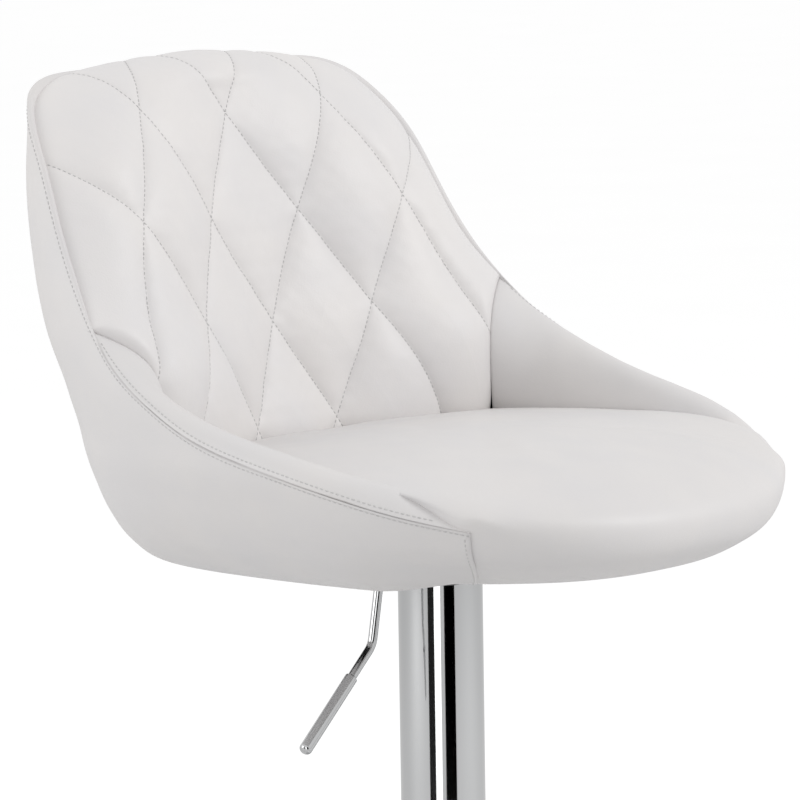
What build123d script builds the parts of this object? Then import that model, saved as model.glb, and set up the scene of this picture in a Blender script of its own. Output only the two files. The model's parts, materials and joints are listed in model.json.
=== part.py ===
from build123d import *
import math
import os

# Adjustable swivel stool: a quilted bucket seat on a gas-sprung chrome column.
# Millimetres. +Z is up, -Y is the way the sitter faces, +X is the sitter's left.
# The origin is on the floor, on the column's axis.

# ---------------------------------------------------------------- driving sizes
SEAT_BOTTOM = 525.0            # underside of the seat at the lowest setting
LIFT_STROKE = 210.0            # how far the gas spring raises the seat
WIDE = 600.0                   # larger than the seat, for cutting blocks

# seat sections: height above the seat's bottom, half width, y of the widest
# place, reach to the back and reach to the front
SECTIONS = [
    (0, 134, 0, 186, 190),
    (12, 168, 0, 198, 218),
    (30, 192, 0, 201, 234),
    (60, 216, 0, 202, 237),
    (95, 232, 5, 204, 230),
    (130, 236, 35, 209, 224),
    (170, 228, 105, 216, 218),
    (220, 215, 155, 225, 214),
    (270, 203, 184, 234, 212),
    (330, 186, 214, 246, 210),
    (356, 178, 226, 252, 210),
]
BACK_POWER = 3.3               # how square the section is at the back
FRONT_POWER = 2.5              # and at the front
OUTLINE_POINTS = 40

BACK_TOP = 350.0               # top edge of the back above the seat's bottom
TOP_CORNER_X = 146.0           # centre of the rounded top corners
TOP_CORNER_R = 50.0
# side view of the rim: y, height
RIM = [(-300, 36), (-138, 77), (16, 116), (58, 134), (104, 161), (144, 204), (213, 324), (233, 356)]

COVER_THICK = 12.0             # outer cover with its thin foam
BOARD_THICK = 8.0              # moulded back board
WING_THICK = 10.0              # foam on the inside of each wing
CUSHION_SEAM_Y = -170.0        # where the outer cover ends and the cushion wraps round
BOARD_END_Y = -118.0           # the back board stops here, short of the cushion's seam
BOARD_DROP = 24.0               # the board's edge below the cover's rim
WING_START_Y = -150.0          # front end of the wing pads
RING_HEIGHT = 22.0             # rolled edge under the seat
POCKET_HALF_X = 106.0          # opening in the underside, for the seat plate
POCKET_BACK = 150.0
POCKET_FRONT = 145.0
SEAT_BOARD_THICK = 12.0
SEAT_BOARD_HALF_X = 160.0
SEAT_BOARD_BACK = 172.0
SEAT_BOARD_FRONT = 196.0
PAD_FOOT = 62.0                # the back pad and wing pads stand on the cushion here
WING_END_Y = 100.0             # vertical seam between the quilted pad and a wing
# quilted face: height, y on the middle plane, how far it curls forward at its ends
QUILT_FACE = [(40, 123, 60), (160, 154, 76), (260, 182, 70), (360, 212, 12)]
QUILT_SPAN = 260.0
# side view of the cushion's top: y, height
CROWN = [(190, 76), (120, 82), (40, 93), (-50, 97), (-130, 93), (-190, 80), (-226, 58), (-250, 20)]

# seat plate and lever
PLATE_HALF = 84.0
PLATE_THICK = 3.0
PLATE_TOP = 21.0
DISH_HALF = 48.0
DISH_BOTTOM = -10.0
BOLT_X = 70.0
BOLT_R = 4.0
DUST_THICK = 1.0
HUB_R = 20.0
HUB_LOW = -38.0
HUB_HIGH = -3.0
LEVER_ROD_R = 3.25
LEVER_SLEEVE_R = 4.6
LEVER_Z = 9.7
PIVOT_X = -27.0
PIN_R = 3.0
RUNNING = 0.06                 # radial clearance of every running fit
LEVER_PATH = [(8, LEVER_Z), (-62.4, LEVER_Z), (-74.7, -51.4), (-146, -113.4)]
LEVER_BENDS = [12, 16]
SLEEVE_START = 0.31            # where the sleeve begins along the last straight

# column
TUBE_R = 30.0
TUBE_WALL = 1.5
TUBE_LOW = 80.0
TUBE_HIGH = SEAT_BOTTOM - 12.0
PILLAR_R = 25.0
PILLAR_WALL = 2.5
PILLAR_LOW = 12.0
PILLAR_HIGH = 400.0
CYLINDER_R = 14.0
CYLINDER_BORE = 11.5
CYLINDER_LOW = 62.0
TAPER_TOP_R = 13.0
ROD_R = 5.0
ROD_LOW = 8.0
PISTON_LOW = CYLINDER_LOW + 10.0 + LIFT_STROKE + 2.0
BUTTON_R = 3.0
BUTTON_GAP = 0.9               # between the valve button and the lever over it

# base and footrest
BASE_R = 195.0
BASE_NECK_R = 32.0
PAD_THICK = 4.0
FOOTREST_Z = 235.0
FOOTREST_TUBE_R = 11.0
FOOTREST_REACH = 250.0
FOOTREST_HALF = 150.0
COLLAR_THICK = 5.0
COLLAR_HEIGHT = 44.0
COLLAR_SCREW_X = 44.0


# ---------------------------------------------------------------- helpers
def seat_z(height):
    return SEAT_BOTTOM + height


def save(node, shape):
    """Write one sub-part, or a group of identical ones, to its own file."""
    solids = shape.solids()
    item = solids[0] if len(solids) == 1 else Compound(children=list(solids))
    export_step(item, f"parts/{node}.step")


def rod(radius, low, high, x=0.0, y=0.0):
    """Upright cylinder between two heights."""
    return Pos(x, y, (low + high) / 2) * Cylinder(radius, high - low)


def ring(outer, inner, low, high, x=0.0, y=0.0):
    return rod(outer, low, high, x, y) - rod(inner, low - 1, high + 1, x, y)


def block(x0, x1, y0, y1, z0, z1):
    """Box given by its two corners."""
    return Pos((x0 + x1) / 2, (y0 + y1) / 2, (z0 + z1) / 2) * Box(x1 - x0, y1 - y0, z1 - z0)


def outline(z, half_width, widest_y, back, front):
    """Closed smooth outline: a squarish ellipse, blunter at the back."""
    points = []
    for i in range(OUTLINE_POINTS):
        angle = 2 * math.pi * i / OUTLINE_POINTS
        c, s = math.cos(angle), math.sin(angle)
        power = BACK_POWER if s > 0 else FRONT_POWER
        reach = back - widest_y if s > 0 else front + widest_y
        radius = (abs(c / half_width) ** power + abs(s / reach) ** power) ** (-1 / power)
        points.append((radius * c, widest_y + radius * s, z))
    return Wire([Edge.make_spline(points, periodic=True)])


def extrude_x(points, low_edge):
    """Solid below a side-view curve, running right across the seat."""
    curve = Spline(*[(0, y, seat_z(h)) for y, h in points])
    (y0, h0), (y1, h1) = points[0], points[-1]
    rest = Polyline((0, y1, seat_z(h1)), (0, y1, low_edge), (0, y0, low_edge), (0, y0, seat_z(h0)))
    face = make_face(curve + rest)
    return extrude(face, WIDE / 2, dir=(1, 0, 0), both=True)


# ---------------------------------------------------------------- seat volumes
def bucket(inset):
    """The seat's outer form, drawn in by an even thickness."""
    wires = [outline(seat_z(h), w - inset, y, b - inset, f - inset) for h, w, y, b, f in SECTIONS]
    return Solid.make_loft(wires)


def below_rim(drop=0.0):
    """Everything under the rim's side view and inside the rounded top corners."""
    line = [(0, y, seat_z(h - drop)) for y, h in RIM]
    low = seat_z(-20)
    far = WIDE / 2
    top = (0, far, seat_z(RIM[-1][1] - drop))
    side = Spline(*line)
    rest = Polyline(line[-1], top, (0, far, low), (0, -far, low), line[0])
    solid = extrude(make_face(side + rest), far, dir=(1, 0, 0), both=True)
    solid &= block(-far, far, -far, far, low, seat_z(BACK_TOP - drop))
    for side_sign in (-1, 1):
        x = side_sign * TOP_CORNER_X
        z = seat_z(BACK_TOP - TOP_CORNER_R)
        corner = block(min(x, side_sign * far), max(x, side_sign * far), -far, far, z, z + 100)
        round_part = Pos(x, 0, z) * Rot(90, 0, 0) * Cylinder(TOP_CORNER_R - drop, WIDE + 2)
        solid -= corner - round_part
    return solid


def above(height):
    return block(-WIDE, WIDE, -WIDE, WIDE, seat_z(height), seat_z(500))


def behind(y):
    return block(-WIDE, WIDE, y, WIDE, -10, seat_z(500))


def in_front_of_quilt():
    """Space in front of the quilted face, a curved wall that leans back."""
    wires = []
    for height, middle, curl in QUILT_FACE:
        z = seat_z(height)
        left = (-QUILT_SPAN, middle - curl, z)
        right = (QUILT_SPAN, middle - curl, z)
        arc = Edge.make_three_point_arc(left, (0, middle, z), right)
        sides = Polyline(right, (QUILT_SPAN, -WIDE, z), (-QUILT_SPAN, -WIDE, z), left)
        wires.append(Wire([arc, *sides.edges()]))
    return Solid.make_loft(wires)


def pocket(low, high):
    """Opening in the middle of the underside."""
    wires = [outline(z, POCKET_HALF_X, 0, POCKET_BACK, POCKET_FRONT) for z in (low, high)]
    return Solid.make_loft(wires, True)


def seat_board_blank():
    """Plywood board: the inner form's outline, a little smaller."""
    low = seat_z(RING_HEIGHT)
    size = (SEAT_BOARD_HALF_X, 0, SEAT_BOARD_BACK, SEAT_BOARD_FRONT)
    wires = [outline(z, *size) for z in (low, low + SEAT_BOARD_THICK)]
    return Solid.make_loft(wires, True)


def make_seat():
    outer = bucket(0)
    cover_inside = bucket(COVER_THICK)
    board_inside = bucket(COVER_THICK + BOARD_THICK)
    wing_inside = bucket(COVER_THICK + BOARD_THICK + WING_THICK)
    rim = below_rim()
    quilt_space = in_front_of_quilt()
    board = seat_board_blank()
    crown = extrude_x(CROWN, seat_z(-20))

    cover = (outer - (cover_inside & above(RING_HEIGHT))) & rim & behind(CUSHION_SEAM_Y)
    cover -= pocket(seat_z(-5), seat_z(RING_HEIGHT))
    save("shell_cover", cover)

    back_board = (cover_inside - board_inside) & below_rim(BOARD_DROP) & behind(BOARD_END_Y)
    back_board &= above(RING_HEIGHT + SEAT_BOARD_THICK)
    save("back_board", back_board)

    pads = (board_inside & rim) & above(PAD_FOOT)
    back_pad = (pads - quilt_space) & behind(WING_END_Y)
    save("quilted_back_pad", back_pad)

    wings = (pads - wing_inside) & block(-WIDE, WIDE, WING_START_Y, WING_END_Y, 0, seat_z(BACK_TOP))
    left_half = block(0, WIDE, -WIDE, WIDE, 0, seat_z(BACK_TOP))
    right_half = block(-WIDE, 0, -WIDE, WIDE, 0, seat_z(BACK_TOP))
    save("wing_pad_left", wings & left_half)
    save("wing_pad_right", wings & right_half)

    nose = outer - behind(CUSHION_SEAM_Y)
    inside = board_inside & behind(BOARD_END_Y)
    inside += cover_inside & behind(CUSHION_SEAM_Y) - behind(BOARD_END_Y)
    inside &= above(RING_HEIGHT)
    cushion = ((inside + nose) & crown) - board - back_pad - wings
    cushion -= back_board
    save("seat_cushion", max(cushion.solids(), key=lambda s: s.volume))

    for x in (-BOLT_X, BOLT_X):
        for y in (-BOLT_X, BOLT_X):
            board -= rod(BOLT_R + 1.5, seat_z(RING_HEIGHT) - 1, seat_z(RING_HEIGHT + 13), x, y)
    save("seat_board", board)

    dust = pocket(seat_z(RING_HEIGHT - DUST_THICK), seat_z(RING_HEIGHT))
    for x in (-BOLT_X, BOLT_X):
        for y in (-BOLT_X, BOLT_X):
            dust -= rod(BOLT_R, 0, seat_z(60), x, y)
    save("dust_cover", dust)


# ---------------------------------------------------------------- seat plate
def bolt_places():
    return [(x, y) for x in (-BOLT_X, BOLT_X) for y in (-BOLT_X, BOLT_X)]


def make_seat_plate():
    top = seat_z(PLATE_TOP)
    low = seat_z(DISH_BOTTOM)
    flange = block(-PLATE_HALF, PLATE_HALF, -PLATE_HALF, PLATE_HALF, top - PLATE_THICK, top)
    flange = fillet(flange.edges().filter_by(Axis.Z), 18)
    dish = block(-DISH_HALF, DISH_HALF, -DISH_HALF, DISH_HALF, low, top)
    dish = fillet(dish.edges().filter_by(Axis.Z), 12)
    dish = fillet(dish.faces().sort_by(Axis.Z)[0].edges(), 4)
    inner = DISH_HALF - PLATE_THICK
    hollow = block(-inner, inner, -inner, inner, low + PLATE_THICK, top + 1)
    hollow = fillet(hollow.edges().filter_by(Axis.Z), 12 - PLATE_THICK)
    plate = flange + dish - hollow
    plate -= rod(HUB_R, low - 1, low + 10)
    slot_z = seat_z(LEVER_Z + 2)
    plate -= block(-DISH_HALF - 5, -inner + 5, -5, 5, slot_z - 7, slot_z + 6)
    for x, y in bolt_places():
        plate -= rod(BOLT_R, low, top + 1, x, y)
    save("seat_plate", plate)


def make_hub():
    hub = rod(HUB_R, seat_z(HUB_LOW), seat_z(HUB_HIGH)) - cylinder_taper()
    save("seat_hub", hub)


def make_plate_fasteners():
    washers, bolts, nuts = [], [], []
    under = seat_z(PLATE_TOP - PLATE_THICK)
    board_low = seat_z(RING_HEIGHT)
    head_low = under - 1.6 - 5.3
    for x, y in bolt_places():
        washers.append(ring(8.0, BOLT_R, under - 1.6, under, x, y))
        head = Pos(x, y, head_low) * extrude(RegularPolygon(7.5, 6), 5.3)
        bolts.append(head + rod(BOLT_R, under - 2, board_low + 11, x, y))
        nuts.append(ring(BOLT_R + 1.5, BOLT_R, board_low, board_low + SEAT_BOARD_THICK, x, y))
    save("plate_washers", Compound(children=washers))
    save("plate_bolts", Compound(children=bolts))
    save("tee_nuts", Compound(children=nuts))


# ---------------------------------------------------------------- lever
def lever_points():
    return [(x, 0, seat_z(h)) for x, h in LEVER_PATH]


def make_lever():
    points = lever_points()
    path = FilletPolyline(*points, radius=LEVER_BENDS)
    start = Plane(origin=points[0], z_dir=(-1, 0, 0))
    bar = sweep(start * Circle(LEVER_ROD_R), path=path)
    boss = Pos(PIVOT_X, 0, seat_z(LEVER_Z)) * Rot(90, 0, 0) * Cylinder(6.2, 14)
    bore = Pos(PIVOT_X, 0, seat_z(LEVER_Z)) * Rot(90, 0, 0) * Cylinder(PIN_R + RUNNING, 20)
    save("lever_rod", bar + boss - bore)

    bend, tip = Vector(*points[-2]), Vector(*points[-1])
    along = (tip - bend).normalized()
    first = bend + (tip - bend) * SLEEVE_START
    length = (tip - first).length + LEVER_ROD_R
    plane = Plane(origin=first, z_dir=along)
    sleeve = extrude(plane * Circle(LEVER_SLEEVE_R), length)
    sleeve = fillet(sleeve.faces().sort_by(Axis.Z)[0].edges(), 3.6)
    collar = sleeve.faces().sort_by(Axis((0, 0, 0), tuple(-along)))[-1]
    sleeve = chamfer(collar.edges(), 0.8)
    sleeve -= extrude(plane * Circle(LEVER_ROD_R), (tip - first).length)
    save("lever_sleeve", sleeve)


def make_lever_bracket():
    """Two ears on the dish's floor that carry the pivot pin."""
    floor = seat_z(DISH_BOTTOM + PLATE_THICK)
    foot = block(PIVOT_X - 8, PIVOT_X + 6, -12, 12, floor, floor + 2)
    foot -= rod(HUB_R, floor - 1, floor + 3)
    bracket = foot
    for y in (-12, 9.5):
        bracket += block(PIVOT_X - 8, PIVOT_X + 6, y, y + 2.5, floor, seat_z(LEVER_Z + 7))
    bracket -= rod(HUB_R, floor - 1, seat_z(HUB_HIGH) + 0.5)
    hole = Pos(PIVOT_X, 0, seat_z(LEVER_Z)) * Rot(90, 0, 0) * Cylinder(PIN_R, 60)
    save("lever_bracket", bracket - hole)
    pin = Pos(PIVOT_X, 0, seat_z(LEVER_Z)) * Rot(90, 0, 0) * Cylinder(PIN_R, 27)
    head = Pos(PIVOT_X, -14, seat_z(LEVER_Z)) * Rot(90, 0, 0) * Cylinder(4.6, 2)
    save("lever_pin", pin + head)


# ---------------------------------------------------------------- column
def cylinder_taper():
    low, high = seat_z(HUB_LOW), seat_z(-1)
    cone = Cone(CYLINDER_R, TAPER_TOP_R, high - low)
    return Pos(0, 0, (low + high) / 2) * cone


def make_gas_spring():
    body = rod(CYLINDER_R, CYLINDER_LOW, seat_z(HUB_LOW)) + cylinder_taper()
    body -= rod(CYLINDER_BORE, CYLINDER_LOW + 10, seat_z(-46))
    body -= rod(ROD_R + RUNNING, CYLINDER_LOW - 1, CYLINDER_LOW + 11)
    body -= rod(BUTTON_R + RUNNING, seat_z(-47), seat_z(0))
    save("gas_cylinder", body)
    save("release_button", rod(BUTTON_R, seat_z(-20), seat_z(LEVER_Z - LEVER_ROD_R - BUTTON_GAP)))

    shaft = rod(ROD_R, ROD_LOW, PISTON_LOW + 8)
    shaft += rod(CYLINDER_BORE - RUNNING, PISTON_LOW, PISTON_LOW + 8)
    shaft += rod(8, 26, 30)
    shaft -= ring(8, 4, 9, 11)
    save("piston_rod", shaft)
    save("rod_clip", ring(8, 4, 9, 11))


def make_thrust_bearing():
    save("bearing_race_lower", ring(16, ROD_R + RUNNING, 18, 20))
    save("bearing_race_upper", ring(16, ROD_R, 24.06, 26))
    ball_r = 2.0
    pitch = 11.0
    balls = []
    for i in range(10):
        angle = math.radians(36 * i)
        balls.append(Pos(pitch * math.cos(angle), pitch * math.sin(angle), 22) * Sphere(ball_r))
    save("bearing_balls", Compound(children=balls))


def make_pillar():
    bore = PILLAR_R - PILLAR_WALL
    save("pillar_tube", ring(PILLAR_R, bore, PILLAR_LOW, PILLAR_HIGH))
    save("pillar_foot", ring(bore, ROD_R + RUNNING, PILLAR_LOW, PILLAR_LOW + 6))
    liner = ring(bore, CYLINDER_R + RUNNING, PILLAR_HIGH - 100, PILLAR_HIGH)
    save("pillar_liner", liner)


def make_upper_tube():
    inside = TUBE_R - TUBE_WALL
    tube = ring(TUBE_R, inside, TUBE_LOW, TUBE_HIGH)
    save("upper_tube", tube)
    bush = ring(inside, PILLAR_R + RUNNING, TUBE_LOW, TUBE_LOW + 35)
    lip = ring(TUBE_R, PILLAR_R + RUNNING, TUBE_LOW - 4, TUBE_LOW)
    lip = chamfer(lip.edges().group_by(Axis.Z)[0].sort_by(SortBy.RADIUS)[-1], 1.2)
    save("tube_bush", bush + lip)
    cap = ring(inside, HUB_R, TUBE_HIGH - 10, TUBE_HIGH) + ring(TUBE_R, HUB_R, TUBE_HIGH, TUBE_HIGH + 2)
    save("tube_cap", cap)


# ---------------------------------------------------------------- footrest
def make_footrest():
    z = FOOTREST_Z
    start = (-16, -TUBE_R - COLLAR_THICK + 2, z)
    shoulder = (-FOOTREST_HALF + 8, -100, z)
    corner = (-FOOTREST_HALF + 4, -FOOTREST_REACH + FOOTREST_TUBE_R, z)
    points = [start, shoulder, corner]
    points += [(-x, y, h) for x, y, h in reversed(points)]
    path = FilletPolyline(*points, radius=[48, 62, 62, 48])
    direction = Vector(*shoulder) - Vector(*start)
    section = Plane(origin=start, z_dir=direction) * Circle(FOOTREST_TUBE_R)
    hollow = Plane(origin=start, z_dir=direction) * Circle(FOOTREST_TUBE_R - 1.5)
    loop = sweep(section, path=path) - sweep(hollow, path=path)
    low, high = z - COLLAR_HEIGHT / 2, z + COLLAR_HEIGHT / 2
    loop -= rod(TUBE_R + COLLAR_THICK, low - 5, high + 5)
    save("footrest_loop", max(loop.solids(), key=lambda s: s.volume))


def collar_half(front):
    """Half of the clamp ring with an ear each side."""
    low, high = FOOTREST_Z - COLLAR_HEIGHT / 2, FOOTREST_Z + COLLAR_HEIGHT / 2
    outer = TUBE_R + COLLAR_THICK
    half = rod(outer, low, high)
    for sign in (-1, 1):
        x0, x1 = sorted((sign * 28, sign * (COLLAR_SCREW_X + 9)))
        ear = block(x0, x1, -6, 6, low, high)
        half += fillet(ear.edges().filter_by(Axis.Y), 6)
    half -= rod(TUBE_R, low - 1, high + 1)
    gap = 0.6
    half &= block(-80, 80, -80, -gap, 0, 400) if front else block(-80, 80, gap, 80, 0, 400)
    for x in (-COLLAR_SCREW_X, COLLAR_SCREW_X):
        for z in (FOOTREST_Z - 11, FOOTREST_Z + 11):
            half -= Pos(x, 0, z) * Rot(90, 0, 0) * Cylinder(3, 40)
    return half


def make_collar():
    save("collar_front", collar_half(True))
    save("collar_rear", collar_half(False))
    screws = []
    for x in (-COLLAR_SCREW_X, COLLAR_SCREW_X):
        for z in (FOOTREST_Z - 11, FOOTREST_Z + 11):
            shank = Pos(x, 0.5, z) * Rot(90, 0, 0) * Cylinder(3, 15)
            head = Pos(x, 8.5, z) * Rot(90, 0, 0) * Cylinder(5, 5)
            socket = Pos(x, 11, z) * Rot(90, 0, 0) * extrude(RegularPolygon(2.9, 6), 3, both=True)
            screws.append(shank + head - socket)
    save("collar_screws", Compound(children=screws))


# ---------------------------------------------------------------- base
def make_base():
    save("base_pad", fillet(rod(BASE_R - 1, 0, PAD_THICK).edges().group_by(Axis.Z)[0], 1.0))

    rim_z = 10.0
    curve = [(BASE_R, rim_z), (150, 20), (100, 29.5), (62, 42), (41, 56), (BASE_NECK_R + 2, 66)]
    sheet = 2.0
    inner = [(r - sheet * 0.8, z - sheet) for r, z in curve]
    outer_edge = Spline(*[(r, 0, z) for r, z in curve])
    inner_edge = Spline(*[(r, 0, z) for r, z in inner])
    foot = Polyline((*inner[0][:1], 0, inner[0][1]), (inner[0][0], 0, PAD_THICK), (BASE_R, 0, PAD_THICK),
                    (BASE_R, 0, rim_z))
    neck = Line((inner[-1][0], 0, inner[-1][1]), (curve[-1][0], 0, curve[-1][1]))
    section = make_face(outer_edge + neck + inner_edge + foot)
    save("base_shell", revolve(section, Axis.Z))

    ballast = ring(168, 12, PAD_THICK, PILLAR_LOW)
    save("ballast_plate", ballast)
    hub = ring(30, PILLAR_R, PILLAR_LOW, 58) + ring(62, PILLAR_R, PILLAR_LOW, PILLAR_LOW + 6)
    save("base_hub", hub)
    trim = ring(BASE_NECK_R + 4, PILLAR_R, 66, 72)
    trim = fillet(trim.edges().group_by(Axis.Z)[-1].sort_by(SortBy.RADIUS)[-1], 3)
    save("base_trim", trim)


make_seat()
make_seat_plate()
make_hub()
make_plate_fasteners()
make_lever()
make_lever_bracket()
make_gas_spring()
make_thrust_bearing()
make_pillar()
make_upper_tube()
make_footrest()
make_collar()
make_base()
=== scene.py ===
import json
import math

import bmesh
import bpy
import numpy as np
from mathutils import Matrix, Vector


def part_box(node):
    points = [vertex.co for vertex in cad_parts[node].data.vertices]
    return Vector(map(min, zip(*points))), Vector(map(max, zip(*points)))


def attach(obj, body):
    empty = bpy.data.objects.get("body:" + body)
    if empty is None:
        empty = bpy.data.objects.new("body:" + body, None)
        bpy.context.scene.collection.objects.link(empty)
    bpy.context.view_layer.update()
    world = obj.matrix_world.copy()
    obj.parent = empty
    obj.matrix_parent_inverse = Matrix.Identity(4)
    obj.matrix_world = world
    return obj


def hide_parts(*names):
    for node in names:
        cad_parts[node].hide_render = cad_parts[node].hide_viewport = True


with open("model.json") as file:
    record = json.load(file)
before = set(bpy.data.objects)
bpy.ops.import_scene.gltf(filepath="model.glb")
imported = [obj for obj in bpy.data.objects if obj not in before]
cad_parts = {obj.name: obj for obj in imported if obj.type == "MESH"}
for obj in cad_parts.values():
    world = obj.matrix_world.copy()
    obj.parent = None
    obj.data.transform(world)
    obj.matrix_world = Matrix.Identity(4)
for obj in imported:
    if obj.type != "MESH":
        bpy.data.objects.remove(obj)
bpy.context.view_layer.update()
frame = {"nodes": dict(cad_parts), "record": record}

# Adjustable swivel stool. The metal parts, boards and plates are the CAD's own meshes with a
# material put on them. The leather seat is made here, in five closed pieces and two sets of
# stitches. Seat sizes are in millimetres, with x and y from the column's axis (front is -y,
# the sitter's left is +x) and z from the seat's underside. Meshes are in metres in the CAD frame.
MM = 0.001
SEAT_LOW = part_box("shell_cover")[0].z

# ------------------------------------------------------------------ seat form
# height, half width, y of the widest place, reach to the back, reach to the front
SECTIONS = [
    (0, 134, 0, 186, 190),
    (12, 168, 0, 198, 218),
    (30, 192, 0, 201, 234),
    (60, 216, 0, 202, 237),
    (95, 232, 5, 204, 230),
    (130, 236, 35, 209, 224),
    (170, 228, 105, 216, 218),
    (220, 215, 155, 225, 214),
    (270, 203, 184, 234, 212),
    (330, 186, 214, 246, 210),
    (356, 178, 226, 252, 210),
]
BACK_POWER = 3.3               # roundness of the plan outline: 2 is an ellipse
FRONT_POWER = 2.5
FRONT_LIFT = 8.5               # the underside rises towards the front
# outer seam of the cover, from the middle of the top edge round to the front
RIM = [
    (0, 244, 344), (60, 244, 344), (112, 242, 343), (147, 237, 340), (171, 227, 331), (186, 212, 315),
    (198, 190, 287), (206, 170, 249), (214, 145, 206), (222, 121, 176), (230, 93, 150),
    (235, 58, 128), (237, 16, 108), (234, -40, 92), (225, -90, 79), (205, -132, 66), (172, -171, 54),
]
TOP_CORNER = 2                 # the rim point where the top edge ends
WING_START = 9                 # the rim point where the wing's lining begins
# crease between the cushion and what stands round it, from the middle to the front
CREASE = [
    (0, 131, 77), (60, 129, 77), (120, 123, 77), (165, 114, 77), (184, 100, 78), (196, 60, 81),
    (201, 15, 84), (201, -50, 87), (197, -94, 86), (187, -124, 82), (161, -158, 62),
]
# the cushion's own outline leaves that crease and reaches the outer form at the front seam
CUSHION_LINE = CREASE[:-4] + [
    (202, -50, 85), (201, -94, 83), (196, -127, 79), (187, -152, 74), (178, -171, 68),
]
CREASE_CORNER = 4              # the crease point at the foot of the quilted pad's side seam


def smooth_table(knots, values):
    """Monotone cubic through a few values, without overshoot."""
    knots = np.asarray(knots, float)
    values = np.asarray(values, float)
    step = np.diff(knots)
    slope = np.diff(values) / step
    tangent = np.zeros_like(values)
    tangent[0], tangent[-1] = slope[0], slope[-1]
    both = slope[:-1] * slope[1:]
    inner = np.where(both > 0, 2 * both / np.where(both > 0, slope[:-1] + slope[1:], 1), 0)
    tangent[1:-1] = inner

    def at(x):
        x = np.clip(x, knots[0], knots[-1])
        i = np.clip(np.searchsorted(knots, x, side="right") - 1, 0, len(step) - 1)
        t = (x - knots[i]) / step[i]
        a, b = values[i], values[i + 1]
        ta, tb = tangent[i] * step[i], tangent[i + 1] * step[i]
        return (a * (1 + 2 * t) + ta * t) * (1 - t) ** 2 + (b * (3 - 2 * t) - tb * (1 - t)) * t ** 2

    return at


def running_length(points):
    """Length along a line of points, at each of them."""
    return np.concatenate([[0], np.cumsum(np.linalg.norm(np.diff(points, axis=0), axis=1))])


def at_length(places, length, points):
    """Points at given lengths along a line."""
    return np.stack([np.interp(places, length, points[:, c]) for c in range(3)], -1)


def smooth_line(points, samples=1200):
    """Natural cubic spline through points; returns a function of the length fraction."""
    p = np.asarray(points, float)
    s = running_length(p)
    n = len(p)
    h = np.diff(s)
    matrix = np.eye(n)
    right = np.zeros_like(p)
    for i in range(1, n - 1):
        matrix[i, i - 1:i + 2] = h[i - 1], 2 * (h[i - 1] + h[i]), h[i]
        right[i] = 6 * ((p[i + 1] - p[i]) / h[i] - (p[i] - p[i - 1]) / h[i - 1])
    bend = np.linalg.solve(matrix, right)
    t = np.linspace(0, s[-1], samples)
    i = np.clip(np.searchsorted(s, t, side="right") - 1, 0, n - 2)
    a = ((s[i + 1] - t) / h[i])[:, None]
    b = 1 - a
    k = (h[i] ** 2 / 6)[:, None]
    fine = a * p[i] + b * p[i + 1] + ((a ** 3 - a) * bend[i] + (b ** 3 - b) * bend[i + 1]) * k
    length = running_length(fine)
    knots = length / length[-1]

    def at(u):
        return at_length(u, knots, fine)

    at.length = length[-1]
    at.fraction = lambda q: knots[np.argmin(np.linalg.norm(fine - np.asarray(q, float), axis=1))]
    return at


def mirrored(points):
    """A half line from the middle plane, completed on the other side."""
    left = [(-x, y, z) for x, y, z in reversed(points) if x > 0]
    return left + list(points)


ROOT = np.sqrt([row[0] for row in SECTIONS])
HALF_WIDTH, WIDEST_Y, BACK_REACH, FRONT_REACH = [
    smooth_table(ROOT, [row[i] for row in SECTIONS]) for i in (1, 2, 3, 4)
]


def ease(t):
    """Smooth step from 0 to 1."""
    t = np.clip(t, 0, 1)
    return t * t * (3 - 2 * t)


def rounded_outline(turn):
    """Cosine, sine and radius of a unit outline between a circle and a square."""
    c, s = np.cos(turn), np.sin(turn)
    power = np.where(s > 0, BACK_POWER, FRONT_POWER)
    return c, s, (np.abs(c) ** power + np.abs(s) ** power) ** (-1 / power)


BEARING_STEP = math.radians(0.5)
BEARINGS = np.radians(np.arange(-180, 180, 0.5))


def form_table():
    """Radius of the outer form from the column's axis, by millimetre of height and by bearing."""
    c, s, r = rounded_outline(np.radians(np.arange(-180, 180, 0.25)))
    table = []
    for height in range(SECTIONS[-1][0] + 1):
        root = math.sqrt(height)
        y0 = WIDEST_Y(root)
        reach = np.where(s > 0, BACK_REACH(root) - y0, FRONT_REACH(root) + y0)
        x, y = HALF_WIDTH(root) * r * c, y0 + reach * r * s
        table.append(np.interp(BEARINGS, np.arctan2(y, x), np.hypot(x, y), period=2 * math.pi))
    return np.array(table)


FORM_RADIUS = form_table()


def form_radius(bearing, height):
    """Smooth lookup of the outer form's radius; bearing 0 is +X and 90 degrees the back."""
    row = np.clip(height, 0, len(FORM_RADIUS) - 1.001)
    column = np.mod(bearing + math.pi, 2 * math.pi) / BEARING_STEP
    i, j = np.floor(row).astype(int), np.floor(column).astype(int)
    a, b = row - i, column - j
    wide = FORM_RADIUS.shape[1]
    low = FORM_RADIUS[i, j % wide] * (1 - b) + FORM_RADIUS[i, (j + 1) % wide] * b
    high = FORM_RADIUS[i + 1, j % wide] * (1 - b) + FORM_RADIUS[i + 1, (j + 1) % wide] * b
    return low * (1 - a) + high * a


def body_point(bearing, height, inset=0.0):
    """Point of the seat's outer form, or one that lies an inset inside it."""
    bearing, height = np.broadcast_arrays(bearing, height)
    r = form_radius(bearing, height) - inset
    y = r * np.sin(bearing)
    lift = FRONT_LIFT * ease((-60 - y) / 65) * (1 - ease(height / 45))
    return np.stack([r * np.cos(bearing), y, height + lift], -1)


def body_angle(p):
    """Bearing of a point round the column's axis."""
    return np.arctan2(p[..., 1], p[..., 0])


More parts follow.
